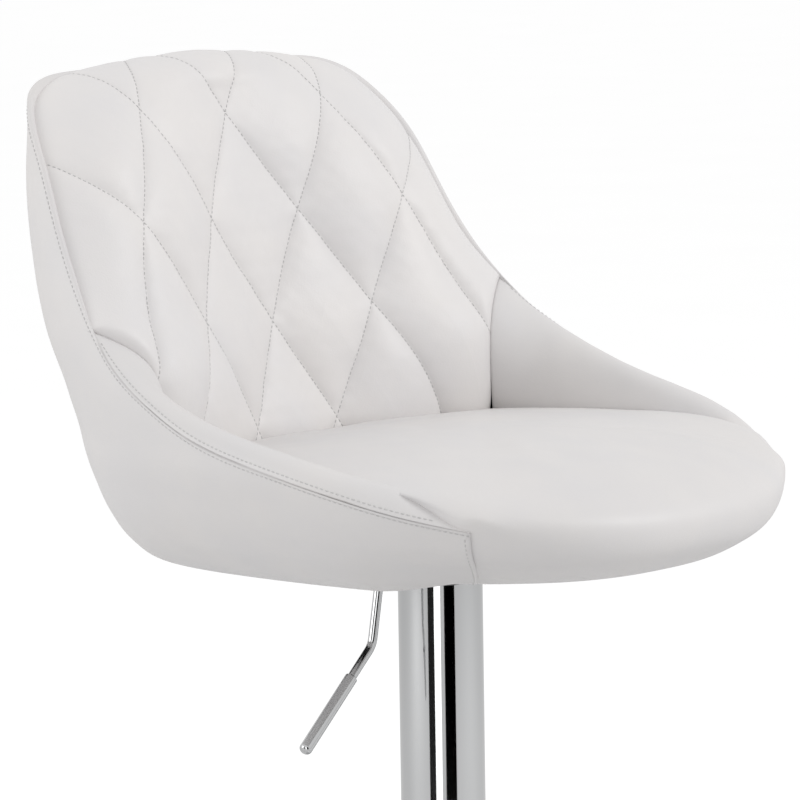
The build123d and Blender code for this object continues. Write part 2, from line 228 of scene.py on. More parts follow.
def keep_inside(p, margin):
    """Draws points in until they are a margin inside the outer form."""
    limit = form_radius(body_angle(p), p[..., 2]) - margin
    share = np.minimum(limit / np.maximum(np.hypot(p[..., 0], p[..., 1]), 1), 1)
    return np.stack([p[..., 0] * share, p[..., 1] * share, p[..., 2]], -1)


def unit(v):
    """Vectors scaled to length 1."""
    return v / np.maximum(np.linalg.norm(v, axis=-1, keepdims=True), 1e-9)


def normals_of(grid):
    """Unit normals of a grid of points, rows by columns."""
    return unit(np.cross(np.gradient(grid, axis=1), np.gradient(grid, axis=0)))


def bezier(p0, p1, p2, p3, t):
    """Point of a cubic curve from p0 to p3."""
    return (1 - t) ** 3 * p0 + 3 * (1 - t) ** 2 * t * p1 + 3 * (1 - t) * t ** 2 * p2 + t ** 3 * p3


# places along a line are given as fractions of its length
RIM_LINE = smooth_line(mirrored(RIM))
RIM_WING = RIM_LINE.fraction(RIM[WING_START])
CREASE_LINE = smooth_line(mirrored(CREASE))
CUSHION_EDGE = smooth_line(mirrored(CUSHION_LINE))
CREASE_WING = CREASE_LINE.fraction(CREASE[CREASE_CORNER])


def waviness(p, scale, seed):
    """Smooth unevenness between -1 and 1, from a few fixed waves."""
    draw = np.random.default_rng(seed)
    total = np.zeros(p.shape[:-1])
    for _ in range(7):
        direction = draw.normal(size=3)
        direction /= np.linalg.norm(direction)
        wave = 2 * math.pi / (scale * draw.uniform(0.7, 1.6))
        total += np.sin(p @ direction * wave + draw.uniform(0, 2 * math.pi))
    return total / 4


# ------------------------------------------------------------------ mesh tools
def to_metres(p):
    """From the seat's millimetres to the CAD frame."""
    q = np.asarray(p, float) * MM
    q[..., 2] += SEAT_LOW
    return q


def make_object(name, vertices, faces, material):
    """Smooth-shaded object whose faces all look outwards."""
    mesh = bpy.data.meshes.new(name)
    mesh.from_pydata(vertices.tolist(), [], faces)
    mesh.validate()
    shell = bmesh.new()
    shell.from_mesh(mesh)
    bmesh.ops.recalc_face_normals(shell, faces=shell.faces)
    shell.to_mesh(mesh)
    shell.free()
    mesh.polygons.foreach_set("use_smooth", [True] * len(mesh.polygons))
    mesh.materials.append(material)
    obj = bpy.data.objects.new(name, mesh)
    bpy.context.scene.collection.objects.link(obj)
    return obj


def grid_faces(rows, columns, start=0, flip=False, wrap=False):
    """Four-sided faces between the points of a grid; wrap closes it from last column to first."""
    faces = []
    last = columns if wrap else columns - 1
    for i in range(rows - 1):
        for j in range(last):
            a = start + i * columns + j
            b = start + i * columns + (j + 1) % columns
            quad = (a, b, b + columns, a + columns)
            faces.append(quad[::-1] if flip else quad)
    return faces


def slab(name, front, back, material):
    """Closed piece from a front grid and a back grid of the same size."""
    rows, columns = front.shape[:2]
    count = rows * columns
    vertices = np.concatenate([front.reshape(-1, 3), back.reshape(-1, 3)])
    faces = grid_faces(rows, columns, flip=True) + grid_faces(rows, columns, start=count)
    edge = list(range(columns))
    edge += [i * columns + columns - 1 for i in range(1, rows)]
    edge += [(rows - 1) * columns + j for j in range(columns - 2, -1, -1)]
    edge += [i * columns for i in range(rows - 2, 0, -1)]
    for a, b in zip(edge, edge[1:] + edge[:1]):
        faces.append((a, b, b + count, a + count))
    return make_object(name, to_metres(vertices), faces, material)


def thickened(name, front, thickness, material):
    """Closed piece that lies behind a front grid; thickness may vary over it."""
    depth = np.broadcast_to(thickness, front.shape[:2])[..., None]
    return slab(name, front, front - normals_of(front) * depth, material)


# ------------------------------------------------------------------ rim frame
CREASE_INSET = 9.0             # width of the cover's rolled rim round the back


def rim_frame(u):
    """Rim point, direction in towards the seat and direction out of the edge."""
    p = RIM_LINE(u)
    tangent = unit(RIM_LINE(np.clip(u + 1e-3, 0, 1)) - RIM_LINE(np.clip(u - 1e-3, 0, 1)))
    middle = np.stack([p[..., 0] * 0.35, p[..., 1] - 130, p[..., 2] - 60], -1)
    inward = -middle
    inward -= tangent * np.sum(inward * tangent, -1, keepdims=True)
    inward[..., 2] *= 0.15
    inward = unit(inward - tangent * np.sum(inward * tangent, -1, keepdims=True))
    edge = np.cross(tangent, inward)
    edge *= np.sign(np.sum(edge * np.array([0, -1.0, 0.8]), -1, keepdims=True))
    return p, inward, unit(edge)


def back_weight(u):
    """1 where the quilted pad meets the rim, 0 along the wings."""
    side = np.abs(u - 0.5)
    start = RIM_WING - 0.5
    return 1 - ease((side - start + 0.035) / 0.05)


def rim_crease(u):
    """Line where the cover meets the quilted pad; on the wings it is the seam itself."""
    p, inward, edge = rim_frame(u)
    w = back_weight(u)[..., None]
    return p + (inward * CREASE_INSET - edge * 1.0) * w


def under_bead(u):
    """Edge of the quilted pad, hidden under the rolled rim of the cover."""
    _, inward, edge = rim_frame(u)
    w = back_weight(u)[..., None]
    return rim_crease(u) - (inward * 4.0 + edge * 1.8) * w


# ------------------------------------------------------------------ outer cover
FRONT_ANGLE = body_angle(np.array(RIM[-1], float))
FRONT_LOW_ANGLE = FRONT_ANGLE - math.radians(3.0)
POCKET = (106.0, 150.0, 145.0)  # half width, reach back and reach front of the underside's pocket
COVER_COLUMNS = 360
COVER_ROWS = 90
RISE_POWER = 1.35              # above 1 sets the rows closer together at the underside's turn
# height and growth of the pocket's wall, from its head down to the underside
COVER_RING = ((21, 0), (17, 0), (12, 0.3), (9, 1.5), (7.4, 4), (7, 8))
UNDER_FILL = (0.3, 0.6, 0.85)  # rows between that wall and the outer form
UNDER_ROWS = len(COVER_RING) + len(UNDER_FILL)
SEAM_GROOVE = 0.05             # depth of the seam along the wings
COVER_EDGE = 0.6               # the cover's thickness at its edges
COVER_GAIN = 1.8               # and how much more it has away from them


def pocket_point(theta, height, grow=0.0):
    """Point on the wall of the pocket in the underside, where the dust cover shows."""
    w, back, front = (size + grow for size in POCKET)
    c, s, r = rounded_outline(theta)
    reach = np.where(s > 0, back, front)
    return np.stack(np.broadcast_arrays(w * r * c, reach * r * s, height), -1)


def bottom_angle(u):
    """Where each cover column starts on the underside."""
    side = np.clip((u - 0.5) * 2, -1, 1)
    return math.pi / 2 - side * (math.pi / 2 - FRONT_LOW_ANGLE)


def seam_angle(height):
    """Theta of the right-hand front seam at a height on the form."""
    part = np.clip(height / RIM[-1][2], 0, 1) ** (1 / RISE_POWER)
    return FRONT_LOW_ANGLE + (FRONT_ANGLE - FRONT_LOW_ANGLE) * ease(part)


def seam_offset(height):
    """How far the cover's right-hand front end stands off the plain form at a height."""
    part = np.clip(height / RIM[-1][2], 0, 1) ** (1 / RISE_POWER)
    end = np.array(RIM[-1], float)
    return (end - body_point(FRONT_ANGLE, end[2])) * ease(part)[..., None]


def cover_grid():
    """Rows of the cover: pocket and underside, side up to the rim, and the rim's rolled edge."""
    u = np.linspace(1, 0, COVER_COLUMNS)
    rim, inward, edge = rim_frame(u)
    top_angle = body_angle(rim)
    top_angle = np.where(top_angle < -math.pi / 2, top_angle + 2 * math.pi, top_angle)
    low_angle = bottom_angle(u)
    v = np.linspace(0, 1, COVER_ROWS)[:, None]
    height = rim[:, 2] * v ** RISE_POWER
    theta = low_angle + (top_angle - low_angle) * ease(v)
    side = body_point(theta, height)
    side += (rim - body_point(top_angle, rim[:, 2])) * ease(v)[..., None]

    under = []
    outer = body_point(low_angle, 0.0)
    for height_mm, grow in COVER_RING:
        ring = pocket_point(low_angle, height_mm, grow)
        ring[:, 2] += (outer[:, 2] - 7) * (21 - height_mm) / 14
        under.append(ring)
    inner = under[-1]
    for t in UNDER_FILL:
        under.append(inner + (outer - inner) * t)

    w = back_weight(u)[:, None]
    crease = rim_crease(u)
    p1 = rim + edge * (0.2 + 3.3 * w)
    p2 = crease + edge * (0.1 + 2.9 * w) + inward * (0.5 * (1 - w))
    end = crease - edge * (2.0 + 1.0 * w) + inward * (1.6 * (1 - w))
    bead = [bezier(rim, p1, p2, end, t) for t in np.linspace(0.08, 1, 12)]
    return np.concatenate([np.array(under), side, np.array(bead)])


def dress_cover(grid):
    """Slight unevenness of stretched leather, and the dip at its seams."""
    n = normals_of(grid)
    uneven = waviness(grid, 95, 3) * 0.7 + waviness(grid, 33, 4) * 0.16
    rows = np.arange(len(grid))[:, None]
    last = UNDER_ROWS + COVER_ROWS - 1
    calm = ease((last - rows) / 16) * ease((rows - UNDER_ROWS) / 8)
    columns = np.arange(grid.shape[1])
    calm = calm * ease(np.minimum(columns, columns[-1] - columns) / 10 + 0.05)
    grid = grid + n * (uneven * calm)[..., None]
    on_wing = 1 - back_weight(np.linspace(1, 0, len(columns)))
    groove = SEAM_GROOVE * np.exp(-((rows - last) / 2.0) ** 2) * on_wing
    return grid - n * groove[..., None]


def make_cover(material):
    """The outer leather with its foam, from the pocket's wall to the rolled rim."""
    grid = dress_cover(cover_grid())
    rows = np.arange(len(grid))
    from_edge = np.minimum(rows, len(grid) - 1 - rows)
    columns = np.arange(grid.shape[1])
    from_end = np.minimum(columns, columns[-1] - columns)
    depth = COVER_EDGE + COVER_GAIN * np.outer(ease((from_edge - 8) / 10), ease(from_end / 10))
    piece = thickened("outer_cover", grid, depth, material)
    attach(piece, "seat")
    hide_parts("shell_cover")
    return grid


# ------------------------------------------------------------------ quilted back
QUILT_COLUMNS = 420
QUILT_ROWS = 380
# y and z up the middle of the pad's face
LEAN = [(131, 77), (141, 110), (154, 160), (169, 210), (183, 260), (194, 300), (202, 328)]
TOP_ROLL = (29.0, 21.0)        # depth and height of the rolled top edge
BOLSTER = smooth_table([77, 160, 250, 310, 352], [6, 17, 27, 18, 4])  # swell of the sides, by height
FOOT_SHARE = 0.37              # share of the pad's rows beside the wings' linings
PAD_HEIGHT = 300.0             # rough length up the pad, for distances from its head and foot
LATTICE_STEP_X = 46.5          # half a diamond's width
LATTICE_STEP_Z = 74.5          # half a diamond's height
LATTICE_BASE = 160.0           # height of the crossing on the middle plane
LINES = (-2, 0, 2, 4)          # the quilting lines of each family
PUFF = 7.5                     # how far a diamond swells
PUFF_REACH = 13.0              # how far a quilting line draws the leather down beside it
EDGE_BULGE = 4.0               # swell of the border beside the rim
STITCH_GROOVE = 0.5
PAD_BACK = (4.0, 16.0)         # the pad's thickness at its edge, and what it gains inside
SEAM_DIP = 3.0                 # how far the quilted pad's side seam is drawn in
SEAM_INWARD = np.array([0.62, 0.78, -0.05])  # into the right-hand side seam


def middle_profile():
    """Front face on the middle plane, up the lean and back over the top edge."""
    face = [(0, y, z) for y, z in LEAN]
    y0, z0 = LEAN[-1]
    for i in range(1, 7):
        a = math.pi / 2 * i / 6
        face.append((0, y0 + TOP_ROLL[0] * (1 - math.cos(a)), z0 + TOP_ROLL[1] * math.sin(a)))
    face.append(tuple(under_bead(np.array([0.5]))[0]))
    return face


def wing_section(q, t):
    """Point of a wing's lining: q runs from the quilted pad to the front, t from seam to crease."""
    outer = rim_crease(RIM_WING + (1 - RIM_WING) * q)
    inner = CREASE_LINE(CREASE_WING + (1 - CREASE_WING) * q)
    knots = [0, 0.16, 0.38, 0.6, 0.82, 1]
    lift_out = np.stack([smooth_table(knots, c)(q) for c in (
        [-34, -10, -6, -4, -3, 0], [-20, -3, 0, 0, 0, 0], [-17, 11, 17, 17, 14, 0.5])], -1)
    lift_in = np.stack([smooth_table(knots, c)(q) for c in (
        [-20, -1, 7, 7, 7, 0], [-12, -5, 0, 0, 0, 0], [69, 50, 34, 16, 3, 0.5])], -1)
    return bezier(outer, outer + lift_out, inner + lift_in, inner, t)


def quilt_side(w):
    """Right-hand edge of the quilted pad: up the side seam, then along the rim's crease."""
    samples = np.linspace(1, 0, 60)
    seam = wing_section(np.zeros(len(samples)), samples[:, None])
    corner = RIM_LINE.fraction(RIM[TOP_CORNER])
    edge = under_bead(np.linspace(RIM_WING, corner, 120))
    foot = len(seam)
    line = np.concatenate([seam, edge[1:]])
    length = running_length(line)
    join = length[foot - 1]
    above = FOOT_SHARE + (length - join) / (length[-1] - join) * (1 - FOOT_SHARE)
    knots = np.where(length <= join, length / join * FOOT_SHARE, above)
    return at_length(w, knots, line)


def softened(line, reach):
    """Gaussian smoothing of a line's points that keeps both ends."""
    before = 2 * line[0] - line[reach:0:-1]
    after = 2 * line[-1] - line[-2:-reach - 2:-1]
    padded = np.concatenate([before, line, after])
    weight = np.exp(-np.linspace(-2.2, 2.2, 2 * reach + 1) ** 2)
    weight /= weight.sum()
    return np.stack([np.convolve(padded[:, c], weight, "valid") for c in range(3)], -1)


def quilt_base():
    """The pad's smooth face, with each point's lattice height."""
    middle_line = smooth_line(middle_profile())
    join = middle_line.fraction((0, 160, 177))
    w = np.linspace(0, 1, QUILT_ROWS)
    above = join + (w - FOOT_SHARE) / (1 - FOOT_SHARE) * (1 - join)
    along = np.where(w < FOOT_SHARE, w / FOOT_SHARE * join, above)
    middle = middle_line(along)
    side = quilt_side(w)
    upper = ease((w - 0.55) / 0.15)[:, None]
    soft = softened(side, QUILT_ROWS // 7) * (1 - upper) + side * upper
    s = np.linspace(-1, 1, QUILT_COLUMNS)
    a = np.abs(s)
    curl = s ** 2
    bump = 6.75 * a ** 2 * (1 - a) * (1 - ease((w[:, None] - 0.8) / 0.18))
    local = a ** 14
    x = soft[:, :1] * s + (side[:, :1] - soft[:, :1]) * np.sign(s) * local
    y = middle[:, 1:2] + (soft[:, 1:2] - middle[:, 1:2]) * curl - BOLSTER(middle[:, 2:3]) * bump
    y += (side[:, 1:2] - soft[:, 1:2]) * local
    z = middle[:, 2:3] + (soft[:, 2:3] - middle[:, 2:3]) * curl
    z += (side[:, 2:3] - soft[:, 2:3]) * local
    unrolled = LEAN[0][1] + along * middle_line.length / 1.04
    extra = (unrolled - middle[:, 2])[:, None]
    return np.stack([x, y, z], -1), z + np.maximum(extra, 0)


def lattice(x, height):
    """Sum and difference coordinates: quilting lines run where one is an even number."""
    ax = np.abs(x)
    over = np.log1p(np.exp(np.clip((ax - 143) / 8, -30, 30))) * 8
    rise = 12 * (1 - np.exp(-(ax / 90) ** 2)) - 0.8 * over
    across = x / (LATTICE_STEP_X * (1 + 0.00055 * (height - 240)))
    up = (height - rise - LATTICE_BASE) / LATTICE_STEP_Z
    return up + across, up - across


def line_distance(value):
    """Distance in millimetres to the nearest quilting line of one family."""
    nearest = np.clip(np.round(value / 2) * 2, LINES[0], LINES[-1])
    return np.abs(value - nearest) / math.hypot(1 / LATTICE_STEP_X, 1 / LATTICE_STEP_Z)


def quilt_front():
    """The pad's face with its diamonds, its normals and both families' lattice values."""
    base, height = quilt_base()
    total, difference = lattice(base[..., 0], height)
    dip = np.exp(-line_distance(total) / PUFF_REACH)
    dip = 1 - (1 - dip) * (1 - np.exp(-line_distance(difference) / PUFF_REACH))
    rows, columns = base.shape[:2]
    along = np.linspace(-1, 1, columns)
    half = np.linalg.norm(base[:, -1] - base[:, columns // 2], axis=1)[:, None]
    from_side = (1 - np.abs(along)) * half
    up = np.linspace(0, 1, rows)[:, None]
    from_top = (1 - up) * PAD_HEIGHT
    from_foot = up * PAD_HEIGHT
    at_seam = 1 - ease((up - 0.33) / 0.06)
    border = np.exp(-from_side / 4) * (1 - at_seam)
    border = border + np.exp(-from_top / 4) + 0.8 * np.exp(-from_foot / 9)
    free = 1 - np.exp(-from_side / 9)
    flat = np.maximum(np.exp(-from_side / 24) * (1 - at_seam), np.exp(-from_top / 55))
    puff = PUFF * (1 - dip) * free * (1 - flat) + EDGE_BULGE * (flat - np.minimum(border, 1))
    for family in (total, difference):
        puff -= STITCH_GROOVE * np.exp(-line_distance(family) / 1.6)
    n = normals_of(base)
    n *= -np.sign(n[rows // 2, columns // 2, 1])
    wrinkle = waviness(base, 26, 11) * 0.30 + waviness(base, 11, 12) * 0.10
    puff = puff + wrinkle * (0.4 + dip) * free
    into_seam = SEAM_DIP * np.exp(-from_side / 5) * at_seam
    pull = np.where(along[None, :, None] > 0, SEAM_INWARD, SEAM_INWARD * np.array([-1, 1, 1]))
    return base + n * puff[..., None] + pull * into_seam[..., None], n, total, difference


def make_quilt(material):
    """The quilted pad on the inside of the back, thin at its edges."""
    front, n, total, difference = quilt_front()
    rows, columns = front.shape[:2]
    edge_u = np.minimum(1 - np.abs(np.linspace(-1, 1, columns)), 0.2) / 0.2
    up = np.linspace(0, 1, rows)[:, None]
    edge_v = np.minimum(up / 0.08, np.minimum((1 - up) / 0.2, 1))
    depth = PAD_BACK[0] + PAD_BACK[1] * ease(edge_u) * ease(edge_v)
    back = keep_inside(front - n * depth[..., None], 4)
    piece = slab("back_quilt", front[:, ::-1], back[:, ::-1], material)
    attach(piece, "seat")
    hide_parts("quilted_back_pad")
    return front, n, total, difference


# ------------------------------------------------------------------ wing linings
LINING_COLUMNS = 190
LINING_ROWS = 46


def lining_grid():
    """Rows of the right-hand lining from seam to crease, then down behind the cushion."""
    q = np.linspace(0, 1, LINING_COLUMNS)
    t = np.linspace(0, 1, LINING_ROWS)[:, None, None]
    grid = wing_section(q, t)
    front = q[:, None] ** 4
    drop = np.array([0, 0, -1.0]) * (14 - 9 * front)
    down = grid[-1] + drop + unit(grid[-1] * np.array([1, 1, 0])) * (4 - 10 * front)
    down = keep_inside(down, 5)
    extra = [grid[-1] + (down - grid[-1]) * k for k in (0.35, 0.7, 1)]
    return np.concatenate([grid, np.array(extra)])


def make_linings(material):
    """Both wing linings, the left one mirrored from the right."""
    right = lining_grid()
    n = normals_of(right)
    rows, columns = right.shape[:2]
    t = np.linspace(0, 1, rows)[:, None]
    q = np.linspace(0, 1, columns)[None, :]
    n *= np.sign(n[rows // 2, columns // 2, 2])
    border = np.exp(-t / 0.04) * 0.1
    uneven = waviness(right, 60, 21) * 0.5 + waviness(right, 21, 22) * 0.14
    uneven = uneven * (1 - np.exp(-q / 0.05)) * (1 - np.exp(-(1 - q) / 0.1))
    right = right + n * (uneven - border)[..., None]
    right = right + SEAM_INWARD * (SEAM_DIP * np.exp(-q / 0.018))[..., None]
    for side, flip in (("left", 1), ("right", -1)):
        front = right * np.array([flip, 1, 1])
        depth = 1.0 + 3.0 * ease(q / 0.1) * ease((1 - q) / 0.25) * np.ones_like(t)
        back = keep_inside(right - n * depth[..., None], 3.5) * np.array([flip, 1, 1])
        if flip > 0:
            front, back = front[:, ::-1], back[:, ::-1]
        piece = slab("wing_lining_" + side, front, back, material)
        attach(piece, "seat")
        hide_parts("wing_pad_" + side)
    return right, n


# ------------------------------------------------------------------ seat cushion
CROWN_TOP = 98.0               # height of the cushion's crown
CROWN_Y = -35.0
NOSE_WIDEST = 44.0             # height of the front's widest place
# height from the crown out to the front's widest place
NOSE_PROFILE = smooth_table(
    [0, 0.25, 0.47, 0.62, 0.77, 0.87, 0.945, 0.985, 1],
    [CROWN_TOP, 97.3, 94, 89, 80.5, 71.5, 61, 53, NOSE_WIDEST])
SHOULDER = 6.5                 # how high the cushion's sides stand above their crease
FRONT_GAP = 0.5                # depth of the groove at the front seams
NOSE_ARC = 420.0               # length round the front between its seams
SEAM_REACH = 45.0              # the nose swells out to the cover's ends over this distance
BOARD_TOP = 34.0               # top of the seat board, where the cushion ends
ROUNDING = 7                   # rows over which the front's edge is rounded
TUCK = 3.5                     # how far the cushion runs on under the lining
SIDE_COLUMNS = 250
NOSE_COLUMNS = 110
CUSHION_ROWS = 70


def nose_height(theta):
    """Height of the nose's widest place: higher beside the two front seams."""
    corner = FRONT_ANGLE + 2 * math.pi
    away = corner - 1.5 * math.pi - np.abs(theta - 1.5 * math.pi)
    return NOSE_WIDEST + (CUSHION_LINE[-1][2] - NOSE_WIDEST) * np.exp(-away / 0.28)


def nose_angle(theta, height):
    """Spreads the nose's columns between the two front seams at a height."""
    middle = 1.5 * math.pi
    return middle + (theta - middle) * (seam_angle(height) + math.pi / 2) / (FRONT_ANGLE + math.pi / 2)


def cushion_grid():
    """Rows of the cushion from its middle, over the edge and down to the board."""
    u = np.linspace(1, 0, SIDE_COLUMNS)
    from_front = np.minimum(u, 1 - u)
    hidden = CUSHION_EDGE(u)
    outward = unit(hidden * np.array([1, 1, 0]))
    tuck = (TUCK * np.minimum(from_front / 0.08, 1))[:, None]
    hidden = hidden + tuck * (outward - np.array([0, 0, 1]) * ease((hidden[:, 1:2] + 100) / 100))
    theta = np.linspace(math.pi - FRONT_ANGLE, 2 * math.pi + FRONT_ANGLE, NOSE_COLUMNS + 2)[1:-1]
    ends = np.linspace(0, 1, NOSE_COLUMNS)
    near = np.exp(-np.minimum(ends, 1 - ends) * NOSE_ARC / SEAM_REACH)
    near = np.concatenate([np.ones(SIDE_COLUMNS), near])
    free = body_point(theta, nose_height(theta))
    edge = np.concatenate([hidden, free])
    mirror = np.sign(edge[:, :1]) * np.array([1, 0, 0]) + np.array([0, 1, 1])
    to_seam = mirror * near[:, None]
    edge[SIDE_COLUMNS:] += (seam_offset(edge[:, 2]) * to_seam)[SIDE_COLUMNS:]
    angle = np.concatenate([body_angle(hidden), theta])
    is_nose = np.arange(len(edge)) >= SIDE_COLUMNS
    blend = np.concatenate([0.5 * ease(1 - from_front / 0.13),
                            0.5 + 0.5 * ease(np.minimum(ends, 1 - ends) / 0.22)])
    centre = np.array([0, CROWN_Y])
    reach = np.linalg.norm(edge[:, :2] - centre, axis=1)
    full = np.concatenate([0.3 + 0.7 * ease(from_front / 0.3), np.full(NOSE_COLUMNS, 0.3)])
    rows = []
    for r in np.linspace(0.004, 1, CUSHION_ROWS):
        flat = centre + (edge[:, :2] - centre) * r
        shoulder = SHOULDER * full * (1 - np.exp(-(1 - r) * reach / 5))
        low = edge[:, 2] + shoulder + (CROWN_TOP - edge[:, 2] - SHOULDER * full) * (1 - r ** 1.6)
        share = (NOSE_PROFILE(r) - NOSE_WIDEST) / (CROWN_TOP - NOSE_WIDEST)
        height = low * (1 - blend) + (edge[:, 2] + share * (CROWN_TOP - edge[:, 2])) * blend
        rows.append(np.column_stack([flat, height]))
    inset = np.concatenate([FRONT_GAP + 9.5 * ease(from_front / 0.07),
                            FRONT_GAP * np.exp(-np.minimum(ends, 1 - ends) * NOSE_ARC / 5)])
    for k in np.linspace(0.05, 1, 24):
        height = edge[:, 2] * (1 - k) ** 1.3
        shift = (seam_angle(height) - FRONT_ANGLE) * np.sign(edge[:, 0])
        turned = np.where(is_nose, nose_angle(angle, height), angle + shift)
        face = body_point(turned, height, inset) + seam_offset(height) * to_seam
        held = edge.copy()
        held[:, 2] = edge[:, 2] + (BOARD_TOP - edge[:, 2]) * k
        held = keep_inside(held, 11)
        weight = np.concatenate([ease(from_front / 0.07), np.zeros(NOSE_COLUMNS)])[:, None]
        rows.append(face * (1 - weight) + held * weight)
    grid = np.array(rows)
    rounding = np.concatenate([0.35 * ease(1 - from_front / 0.1),
                               0.35 + 0.65 * ease(np.minimum(ends, 1 - ends) / 0.12)])
    return rounded_edge(grid, rounding)


def rounded_edge(grid, weight):
    """Rounds the turn from the top of the cushion to its side, as far as the weight asks."""
    first = CUSHION_ROWS // 2
    soft = grid.copy()
    for j in np.nonzero(weight)[0]:
        line = grid[first:, j]
        length = running_length(line)
        at = np.linspace(0, length[-1], len(line))
        even = at_length(at, length, line)
        soft[first:, j] = softened(even, ROUNDING)
    return grid + (soft - grid) * weight[None, :, None]


def make_cushion(material):
    """The seat cushion, closed at its crown and under its foot."""
    grid = cushion_grid()
    n = normals_of(grid)
    n *= np.sign(n[CUSHION_ROWS // 2, 5, 2])
    uneven = waviness(grid, 130, 31) * 1.1 + waviness(grid, 45, 32) * 0.35
    rows = np.arange(len(grid))
    fade = np.minimum(rows / 6, 1) * (1 - ease((rows - CUSHION_ROWS + 12) / 12))
    grid = grid + n * (uneven * fade[:, None])[..., None]
    rows, columns = grid.shape[:2]
    count = rows * columns
    vertices = np.concatenate([grid.reshape(-1, 3), [grid[0].mean(0)], [grid[-1].mean(0)]])
    faces = grid_faces(rows, columns, wrap=True, flip=True)
    for j in range(columns):
        k = (j + 1) % columns
        faces.append((count, k, j))
        faces.append((count + 1, (rows - 1) * columns + j, (rows - 1) * columns + k))
    piece = make_object("seat_pad", to_metres(vertices), faces, material)
    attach(piece, "seat")
    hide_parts("seat_cushion")


# ------------------------------------------------------------------ stitching
STITCH_PITCH = 3.8
STITCH_LENGTH = 2.9
STITCH_R = 0.42                # the thread's radius
STITCH_RINGS = 7
STITCH_SIDES = 8
COVER_STITCH = 3.0             # rows of stitches beside the seam, on the cover and on the lining
LINING_STITCH = 3.2


def resample(points, normals, pitch):
    """Places a pitch apart along a line, with the line's direction and normal at each."""
    length = running_length(points)
    count = max(int(length[-1] / pitch), 2)
    at = (np.arange(count) + 0.5) * length[-1] / count
    p = at_length(at, length, points)
    n = unit(at_length(at, length, normals))
    return p, unit(np.gradient(p, axis=0)), n


def thread_shape():
    """One stitch: a short rounded thread that dives at both ends. Columns: along, across, up."""
    rings = []
    for k in np.linspace(-1, 1, STITCH_RINGS):
        radius = STITCH_R * math.sqrt(max(1 - abs(k) ** 4, 0.04))
        lift = 0.30 * (1 - k * k) - 0.16
        for a in np.arange(STITCH_SIDES) * 2 * math.pi / STITCH_SIDES:
            rings.append((k * STITCH_LENGTH / 2, radius * math.cos(a), lift + radius * math.sin(a)))
    faces = grid_faces(STITCH_RINGS, STITCH_SIDES, wrap=True)
    faces.append(tuple(range(STITCH_SIDES - 1, -1, -1)))
    faces.append(tuple(range(len(rings) - STITCH_SIDES, len(rings))))
    return np.array(rings), faces


def stitch_row(lines, name, material):
    """A row of stitches along each line of (points, normals)."""
    shape, shape_faces = thread_shape()
    vertices, faces = [], []
    for points, normals in lines:
        p, tangent, up = resample(points, normals, STITCH_PITCH)
        across = unit(np.cross(tangent, up))
        up = np.cross(across, tangent)
        placed = (p[:, None] + shape[None, :, :1] * tangent[:, None]
                  + shape[None, :, 1:2] * across[:, None] + shape[None, :, 2:] * up[:, None])
        for block in placed:
            start = len(vertices) * len(shape)
            vertices.append(block)
            faces.extend(tuple(start + i for i in face) for face in shape_faces)
    piece = make_object(name, to_metres(np.concatenate(vertices)), faces, material)
    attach(piece, "seat")
    return piece


def lattice_lines(front, n, value):
    """Points where a quilting family's value passes each of its even numbers, row by row."""
    lines = []
    for number in LINES:
        points, ups = [], []
        for i in range(4, front.shape[0] - 2):
            row = value[i] - number
            cross = np.nonzero(row[:-1] * row[1:] < 0)[0]
            if len(cross) == 0:
                continue
            j = cross[0]
            t = row[j] / (row[j] - row[j + 1])
            points.append(front[i, j] * (1 - t) + front[i, j + 1] * t)
            ups.append(n[i, j])
        if len(points) > 10:
            lines.append((np.array(points), np.array(ups)))
    return lines


def offset_line(grid, n, start, step, distance):
    """Line that runs beside row `start` of a grid at a distance, measured on the surface."""
    path = grid[start::step]
    ups = n[start::step]
    gone = np.concatenate([np.zeros((1, grid.shape[1])),
                           np.cumsum(np.linalg.norm(np.diff(path, axis=0), axis=2), axis=0)])
    high = np.argmax(gone >= distance, axis=0)
    columns = np.arange(grid.shape[1])
    share = (distance - gone[high - 1, columns]) / (gone[high, columns] - gone[high - 1, columns])
    a, b = path[high - 1, columns], path[high, columns]
    return a + (b - a) * share[:, None], ups[high, columns]


def seam_rows(cover, lining, lining_n):
    """Top stitching: one row on the cover beside its rim, one on each lining, and the front seams."""
    n = normals_of(cover)
    lines = [offset_line(cover, n, UNDER_ROWS + COVER_ROWS - 1, -1, COVER_STITCH)]
    p, up = offset_line(lining[:LINING_ROWS], lining_n[:LINING_ROWS], 0, 1, LINING_STITCH)
    ends = slice(6, int(len(p) * 0.93))
    for side in (1, -1):
        flip = np.array([side, 1, 1])
        lines.append((p[ends] * flip, up[ends] * flip))
    for column in (1, -2):
        rows = slice(UNDER_ROWS + 4, UNDER_ROWS + COVER_ROWS - 6)
        lines.append((cover[rows, column], n[rows, column]))
    return lines


# ------------------------------------------------------------------ materials
def new_material(name):
    """A material with its node tree and its main shader."""
    material = bpy.data.materials.new(name)
    material.use_nodes = True
    tree = material.node_tree
    shader = tree.nodes["Principled BSDF"]
    return material, tree, shader


def object_coordinates(tree):
    """Object coordinates, so that the patterns ride with their piece."""
    return tree.nodes.new("ShaderNodeTexCoord").outputs["Object"]


def noise_node(tree, scale, detail=2.0, roughness=0.5):
    """Noise value; the scale is roughly in waves per metre."""
    node = tree.nodes.new("ShaderNodeTexNoise")
    node.inputs["Scale"].default_value = scale
    node.inputs["Detail"].default_value = detail
    node.inputs["Roughness"].default_value = roughness
    tree.links.new(object_coordinates(tree), node.inputs["Vector"])
    return node.outputs["Fac"]


